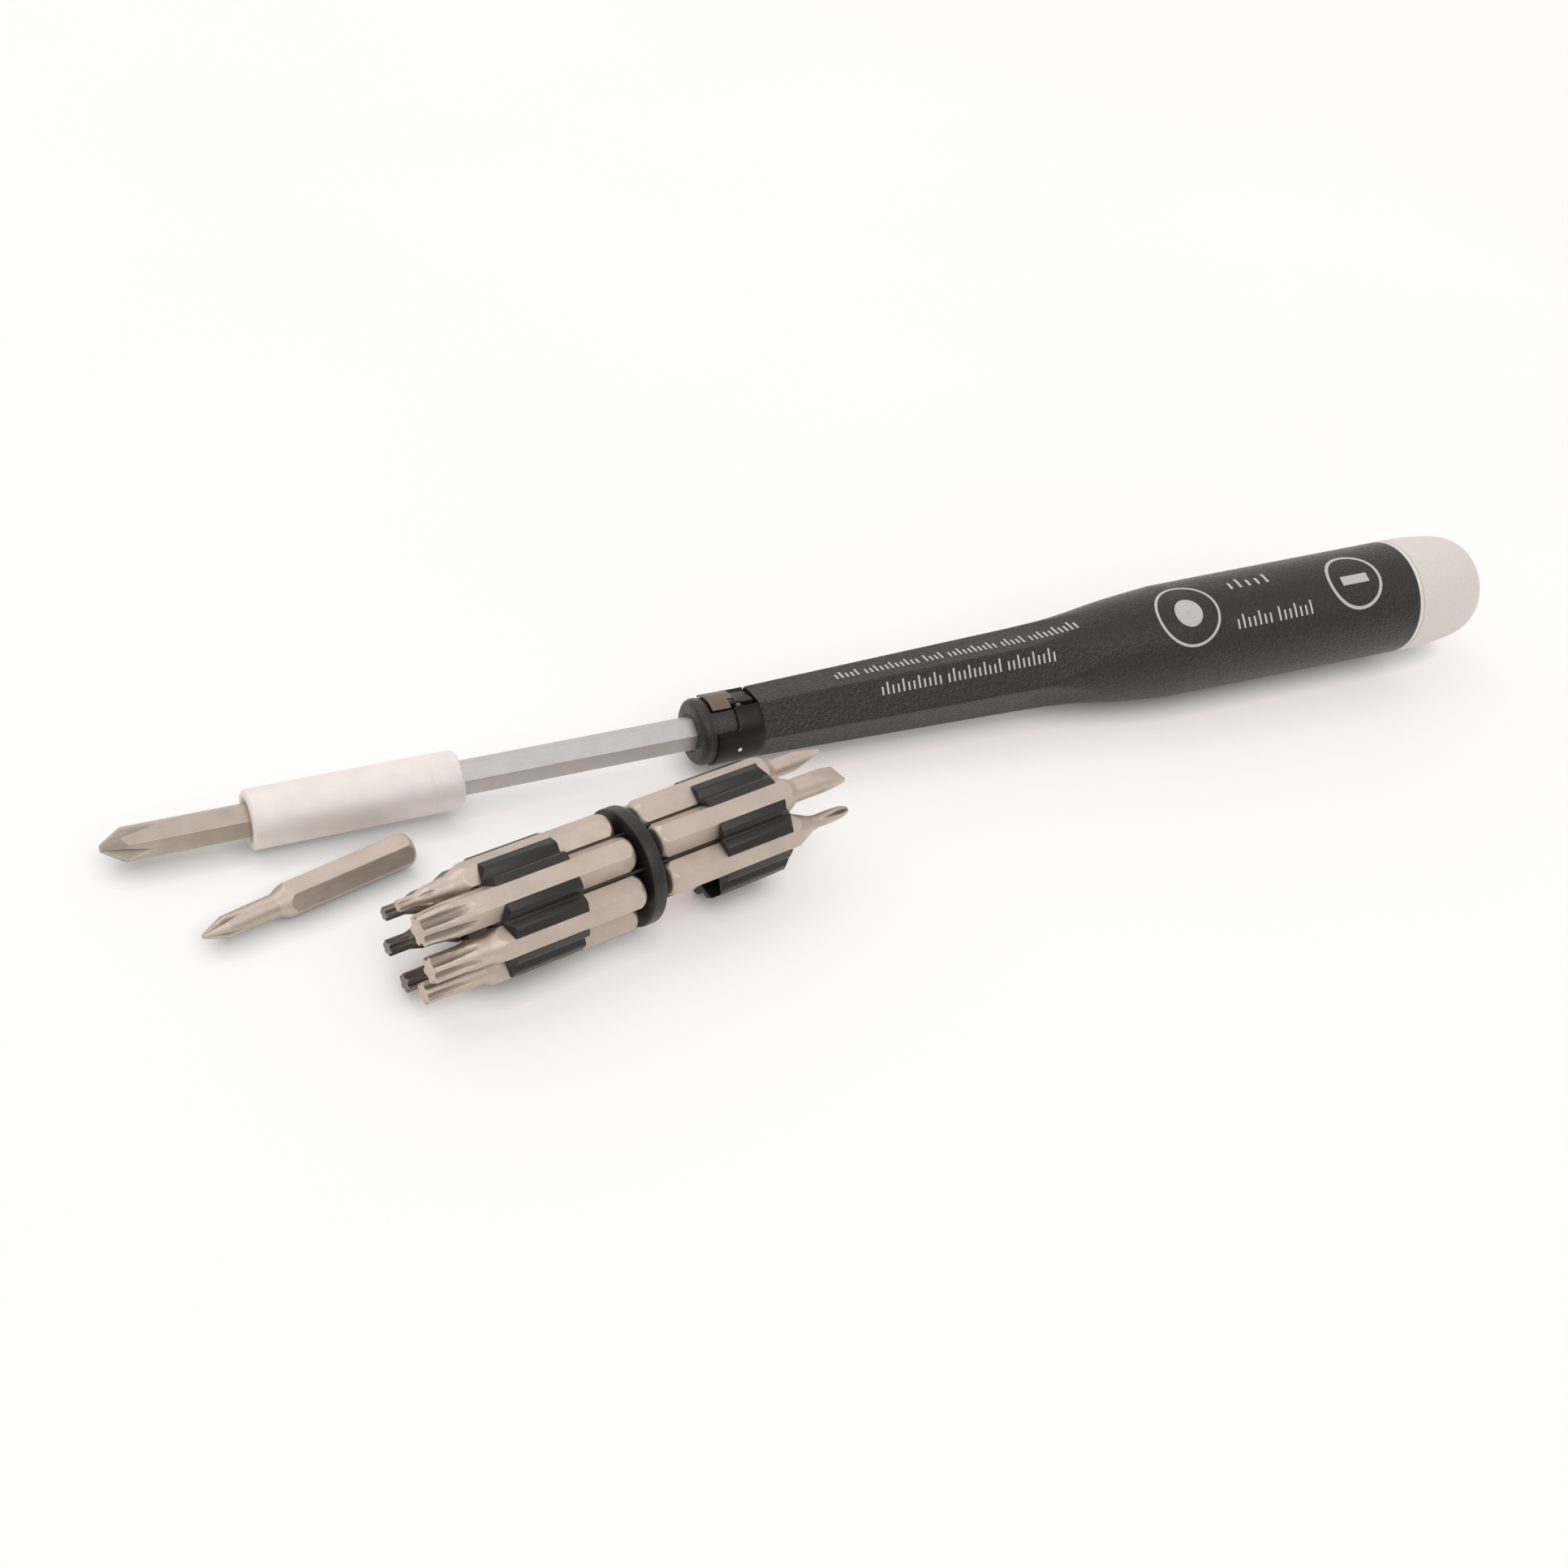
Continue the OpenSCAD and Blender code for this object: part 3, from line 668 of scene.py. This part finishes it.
LEVER = DRIVER @ Matrix.Rotation(math.radians(LEVER_ANGLE - 90), 4, "Z")
ARM_HALF = 1.4
# the arm and hub take the darker copy of the lever metal, painted shade for the slot they sit in
arm = block("release_arm", (-ARM_HALF, 3.3, 80.2), (ARM_HALF, 3.9, 83.5), mats["arm"], LEVER)
stand_for(arm, "lever", "lever_steel", "release_lever")
foot = block("release_foot", (-ARM_HALF, 3.1, 77.6), (ARM_HALF, 4.35, 80.4), mats["lever"], LEVER)
stand_for(foot, "lever", "lever_steel", "release_lever")
hub = LEVER @ basis(Vector((-ARM_HALF, 3.4, 81.1)) * MM, (0, 1, 0), (1, 0, 0))
rows = [(0, 0.55), (0, 0.62), (0.05, 0.67), (2.75, 0.67), (2.8, 0.62), (2.8, 0.55)]
hub_piece = tube("release_hub", rows, circle(36), mats["arm"], hub, loop=True)
stand_for(hub_piece, "lever", "lever_steel", "release_lever")

# blade and sleeve
hex_angles = sector_angles(BLADE_TURN - 30, 6, [0, 5, 10, 14, 18, 21, 24, 26, 27.4, 28.4, 29.2, 29.7, 30])
hexed = hexagon(hex_angles, BIT_AF, BLADE_TURN - 30, EDGE_EASE)
rows = [(BLADE_FRONT, np.minimum(hexed, 1.92))]
rows += [(BLADE_FRONT + 0.1 + 0.05 * i, np.minimum(hexed, 2.0 + 0.06 * i)) for i in range(8)]
rows += [(s, hexed) for s in np.arange(34, 111.4, 2.5)]
rows += [(BLADE_REAR - 0.45 + 0.05 * i, np.minimum(hexed, 2.36 - 0.06 * i)) for i in range(8)]
rows += [(BLADE_REAR, np.minimum(hexed, 1.9))]
stand_for(tube("blade", rows, hex_angles, mats["blade"], DRIVER), "blade", "blade_steel", "hex_blade")

thetas = circle(240, FITTED_TURN)
socket = hexagon(thetas, HOLE_AF, FITTED_TURN - 30)
rear_hole = hexagon(thetas, HOLE_AF, BLADE_TURN - 30)
mouth = [(17.6, 2.2), (17.5, 2.3), (17.4, 2.4), (17.3, 2.5), (17.2, 2.6), (17.12, 2.68), (SLEEVE_FRONT, 2.72)]
skin = [
    (SLEEVE_FRONT, 3.38), (17.14, 3.45), (17.2, 3.53), (17.32, 3.66), (17.38, 3.71), (17.45, SLEEVE_R),
    (20, SLEEVE_R), (39.2, SLEEVE_R), (39.25, 3.7), (39.28, 3.68), (39.38, 3.68), (39.42, 3.7),
    (39.47, SLEEVE_R), (42.9, SLEEVE_R), (42.98, 3.72), (43.05, 3.68), (43.2, 3.53), (43.26, 3.45),
    (SLEEVE_REAR, 3.38),
]
rows = [(31.1, 0.05), (31.1, 2.03), (28.0, 2.03), (28.0, socket), (17.62, socket)]
rows += [(s, np.maximum(socket, r)) for s, r in mouth]
rows += skin + [(SLEEVE_REAR, rear_hole), (32.0, rear_hole), (32.0, 0.05)]
sleeve = tube("sleeve", rows, thetas, mats["sleeve"], DRIVER, sharp=30)
stand_for(sleeve, "blade", "sleeve_steel", "bit_sleeve")

# cap and its ring
thetas = circle(216)
CAP_FRONT = 191.66
cap_skin = [
    (CAP_FRONT, 8.3), (191.7, 8.38), (191.8, 8.45), (191.95, 8.468), (194.6, 8.45), (196.5, 8.34),
    (198.5, 8.18), (200.5, 7.95), (202, 7.65), (203.2, 7.24), (204.2, 6.62), (204.85, 5.8), (205.15, 4.9),
    (205.28, 3.6), (205.3, 2.0),
]
rows = [
    (204.1, 0.05), (204.1, 5.9), (202.8, 6.75), (200.6, 7.15), (197, STORE_R), (195.5, STORE_R),
    (195.5, PLUG_R), (CAP_FRONT, PLUG_R),
]
rows += [tuple(p) for p in soften(cap_skin, 0.6, 4)] + [(205.3, 0.05)]
stand_for(tube("cap", rows, thetas, mats["cap"], DRIVER), "cap", "cap_plastic", "end_cap")
rows = [
    (187.0, 7.6), (187.0, 7.8), (187.06, 7.86), (190.96, 7.86), (190.96, 8.32), (191.02, 8.36),
    (191.54, 8.36), (191.6, 8.32), (191.6, 7.86), (195.24, 7.86), (195.3, 7.8), (195.3, 7.58),
    (195.24, 7.52), (187.06, 7.52),
]
ring = tube("ring", rows, thetas, mats["ring"], DRIVER, loop=True)
stand_for(ring, "cap_ring", "ring_plastic", "cap_ring")

# ---------- rack ----------

HEAD_START, HEAD_LEN, HEAD_SLOPE_START, HEAD_SLOPE = 9.9, 10.3, 6.77, 35
rim = [(DISC_HALF, 7.2), (0.88, 7.3), (0.82, 7.38), (0.74, 7.43), (0.64, DISC_R)]
rows = [(-s, r) for s, r in rim] + list(reversed(rim))
stand_for(tube("rack_disc", rows, circle(180), mats["rack"], RACK), "rack", "rack_plastic", "bit_rack")
rows = [(-20.95, 3.1), (-20.9, 3.17), (-20.83, 3.2), (20.83, 3.2), (20.9, 3.17), (20.95, 3.1)]
stand_for(tube("rack_core", rows, circle(72), mats["rack"], RACK), "rack", "rack_plastic", "bit_rack")


def head_outline():
    """One clip head's section: two wings against the neighbouring bits, a groove between."""
    mid = math.radians(PITCH / 2)

    def corner(turn):
        t = mid - math.radians(turn)
        x = RING_R * math.cos(mid) + BIT_R * math.cos(t)
        y = RING_R * math.sin(mid) + BIT_R * math.sin(t)
        return Vector((x, y))

    off = Vector((math.cos(mid - math.pi / 3), math.sin(mid - math.pi / 3))) * 0.05
    inner, outer = corner(90) + off, corner(30) + off
    half = [
        (5.4, inner.y - 0.09), tuple(inner), tuple(outer), (DISC_R - 0.35, outer.y - 0.17),
        (DISC_R - 0.12, 1.1), (DISC_R - 0.2, 0.75), (6.65, 0.12),
    ]
    return half + [(x, -y) for x, y in reversed(half)]


def clip_head(name, place):
    outline = head_outline()
    bm = bmesh.new()
    near = [bm.verts.new((x, y, HEAD_START)) for x, y in outline]
    face = bm.faces.new(near)
    far = bmesh.ops.extrude_face_region(bm, geom=[face])
    for v in (g for g in far["geom"] if isinstance(g, bmesh.types.BMVert)):
        # the outer end slopes down, as does the CAD one
        v.co.z += HEAD_LEN - max(0, v.co.x - HEAD_SLOPE_START) / math.tan(math.radians(HEAD_SLOPE))
    bmesh.ops.recalc_face_normals(bm, faces=bm.faces)
    bmesh.ops.bevel(
        bm, geom=bm.edges, offset=0.07, segments=2, affect="EDGES", profile=0.5, clamp_overlap=True
    )
    mesh = bpy.data.meshes.new(name)
    bm.to_mesh(mesh)
    bm.free()
    stand_for(finish_object(name, mesh, mats["rack"], place, 28), "rack", "rack_plastic", "bit_rack")


for k in range(PLACES):
    turn = Matrix.Rotation(math.radians(FIRST_PLACE + PITCH / 2 - k * PITCH), 4, "Z")
    rib = block(f"rack_rib_{k}", (2.6, -0.17, -20.75), (5.7, 0.17, 20.75), mats["rack"], RACK @ turn, 0.05)
    stand_for(rib, "rack", "rack_plastic", "bit_rack")
    clip_head(f"rack_head_right_{k}", RACK @ turn)
    clip_head(f"rack_head_left_{k}", RACK @ turn @ basis((0, 0, 0), (1, 0, 0), (0, 0, -1)))

# ---------- CAD nodes that stay ----------

KEPT_NODES = {
    "band_rivets": "rivet",
    "lever_pin": "pin",
    "lever_spring": "spring",
    "clamp_pin": "pin",
    "socket_magnet": "magnet",
}
for node, mat in KEPT_NODES.items():
    piece = frame["nodes"][node]
    own = piece.data.attributes.new(OWN, "FLOAT_VECTOR", "POINT")
    own.data.foreach_set("vector", np.array([v.co / MM for v in piece.data.vertices], np.float32).ravel())
    piece.data.materials.clear()
    piece.data.materials.append(mats[mat])

# ---------- plain marks in place of printing ----------

PRINT_LIFT, PRINT_SINK = 0.014, -0.05


def on_handle(s, a, lift):
    """The point at station s and a degrees round, lift above the handle's surface."""
    t = math.radians(a)
    r = float(handle_radius(s, np.array([t]))[0]) + lift
    return Vector((r * math.cos(t), r * math.sin(t), s))


def printed(name, patches):
    """Thin patches on the handle, each a grid of (station, angle) and whether it closes on itself."""
    verts, faces = [], []
    for grid, loop in patches:
        base, m = len(verts), len(grid[0])
        for lift in (PRINT_LIFT, PRINT_SINK):
            verts += [on_handle(s, a, lift) for row in grid for s, a in row]
        n = len(grid)
        under = n * m

        def wall(i, j):
            faces.append((i, j, j + under, i + under))

        for i in range(n if loop else n - 1):
            here, there = base + i * m, base + (i + 1) % n * m
            for j in range(m - 1):
                quad = (here + j, here + j + 1, there + j + 1, there + j)
                faces.extend([quad, tuple(v + under for v in reversed(quad))])
            wall(there, here)
            wall(here + m - 1, there + m - 1)
        if not loop:
            for j in range(m - 1):
                wall(base + j, base + j + 1)
                wall(base + (n - 1) * m + j + 1, base + (n - 1) * m + j)
    stand_for(finish_mesh(name, verts, faces, mats["print"], DRIVER), "handle", "handle_plastic")


def tick(s, a, half_width, half_height):
    """One upright stroke; the height is in degrees round the driver."""
    steps = 4
    rise = [-half_height + 2 * half_height * i / steps for i in range(steps + 1)]
    return [[(s + w, a - h) for w in (-half_width, half_width)] for h in rise], False


def tick_row(s0, s1, a0, a1, half_height, groups, pitch=0.78, half_width=0.15):
    """A row of plain ticks in groups, every third one longer, running from s0 to s1."""
    patches, s, i = [], s0, 0
    while s < s1:
        for _ in range(groups[i % len(groups)]):
            if s > s1:
                break
            a = a0 + (a1 - a0) * (s - s0) / (s1 - s0)
            tall = half_height * (1.45 if len(patches) % 3 == 1 else 1.0)
            patches.append(tick(s, a - (tall - half_height), half_width, tall))
            s += pitch
        s += pitch * 0.7
        i += 1
    return patches


def ring_patch(s, a, outer, inner, n=60):
    """A plain ring, or a dot, round one point of the handle's surface."""
    turn = math.degrees(1 / at(HANDLE_PROFILE, s))
    steps = [2 * math.pi * i / n for i in range(n)]
    radii = [inner + (outer - inner) * i / 3 for i in range(4)]
    return [[(s + r * math.cos(t), a + r * math.sin(t) * turn) for r in radii] for t in steps], True


def bar_patch(s0, s1, a, half_height):
    """A plain bar along the driver."""
    steps = [s0 + (s1 - s0) * i / 8 for i in range(9)]
    return [[(s, a + h * half_height) for h in (1, 0.33, -0.33, -1)] for s in steps], False


MARKS = {
    "print_row_top": tick_row(96.2, 133.6, 80.0, 89.0, 6.6, [5, 11, 4, 10]),
    "print_row_side": tick_row(101.6, 128.6, 127.5, 127.0, 6.8, [12, 11], 0.8, 0.14),
    "print_row_rear": tick_row(157.8, 171.2, 133.0, 132.0, 5.0, [7, 9], 0.95, 0.16),
    "print_row_short": tick_row(159.2, 166.4, 89.0, 89.0, 4.6, [5], 1.6, 0.22),
    "print_target": [ring_patch(150.2, 111, 5.1, 4.7), ring_patch(150.2, 111, 2.2, 0.05)],
    "print_ring": [ring_patch(180.0, 110, 4.7, 4.2), bar_patch(177.6, 182.4, 110, 5.0)],
}
for name, patches in MARKS.items():
    printed(name, patches)

# ---------- floor and light ----------


def floor():
    mat, tree, shader = nodes_of("floor_paper")
    shader.inputs["Roughness"].default_value = 0.9
    shader.inputs["Specular IOR Level"].default_value = 0.1
    place = add(tree, "ShaderNodeTexCoord").outputs["Object"]
    cloud = noise(tree, place, 6.0, 3.0)
    # the paper's own colour is kept low and cool, so that the pink glow below sets the tone of its shadows
    tree.links.new(ramp(tree, cloud, (0.475, 0.56, 0.56), (0.49, 0.575, 0.575)), shader.inputs["Base Color"])
    # painted light: the paper glows a little, pinker than it is lit, which lightens its shadows and tints
    # them pink; ambient occlusion takes the glow away right under the pieces, a painted contact shadow
    painted_light_glow = add(tree, "ShaderNodeAmbientOcclusion", samples=8)
    painted_light_glow.inputs["Distance"].default_value = 0.0035
    painted_light_glow.inputs["Color"].default_value = (0.50, 0.40, 0.385, 1)
    tree.links.new(painted_light_glow.outputs["Color"], shader.inputs["Emission Color"])
    shader.inputs["Emission Strength"].default_value = 1.0
    fine = noise(tree, place, 900.0, 3.0)
    tree.links.new(bump(tree, fine, 0.02), shader.inputs["Normal"])
    mesh = bpy.data.meshes.new("floor")
    side = 3.0
    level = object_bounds()[0][2] - 1e-5
    corners = [(x * side, y * side, level) for x, y in ((-1, -1), (1, -1), (1, 1), (-1, 1))]
    mesh.from_pydata(corners, [], [(0, 1, 2, 3)])
    mesh.materials.append(mat)
    plane = bpy.data.objects.new("floor", mesh)
    scene.collection.objects.link(plane)
    plane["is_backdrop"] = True


def soft_light(name, place, aim, size, power, colour):
    data = bpy.data.lights.new(name, "AREA")
    data.shape = "RECTANGLE"
    data.size, data.size_y = size
    data.energy = power
    data.color = colour
    lamp = bpy.data.objects.new(name, data)
    scene.collection.objects.link(lamp)
    place, aim = Vector(place), Vector(aim)
    turn = (aim - place).to_track_quat("-Z", "Y").to_matrix().to_4x4()
    lamp.matrix_world = Matrix.Translation(place) @ turn


def sky():
    """A wide white room: bright overhead and behind the set, dimmer low down and in front."""
    world = bpy.data.worlds.new("studio")
    world.use_nodes = True
    tree = world.node_tree
    shade = tree.nodes["Background"]
    where = add(tree, "ShaderNodeTexCoord").outputs["Generated"]
    parts = add(tree, "ShaderNodeSeparateXYZ", {"Vector": where})
    height = spread(tree, parts.outputs["Z"], 0.60, 0.72, -0.05, 0.85)
    back = spread(tree, parts.outputs["Y"], 0.78, 1.4, -0.8, 0.8)
    level = add(tree, "ShaderNodeMath", operation="MULTIPLY")
    tree.links.new(height, level.inputs[0])
    tree.links.new(back, level.inputs[1])
    shade.inputs["Color"].default_value = (1, 0.955, 0.94, 1)
    tree.links.new(level.outputs["Value"], shade.inputs["Strength"])
    scene.world = world


floor()
soft_light("key", (-0.5, 0.9, 1.5), (-0.02, 0, 0), (1.4, 1.2), 5.5, (0.90, 1, 1))
soft_light("front", (0.1, -1.2, 1.7), (0, 0, 0), (2.0, 1.6), 14, (0.93, 1, 1))
sky()
scene.view_settings.view_transform = "Standard"
scene.view_settings.look = "None"
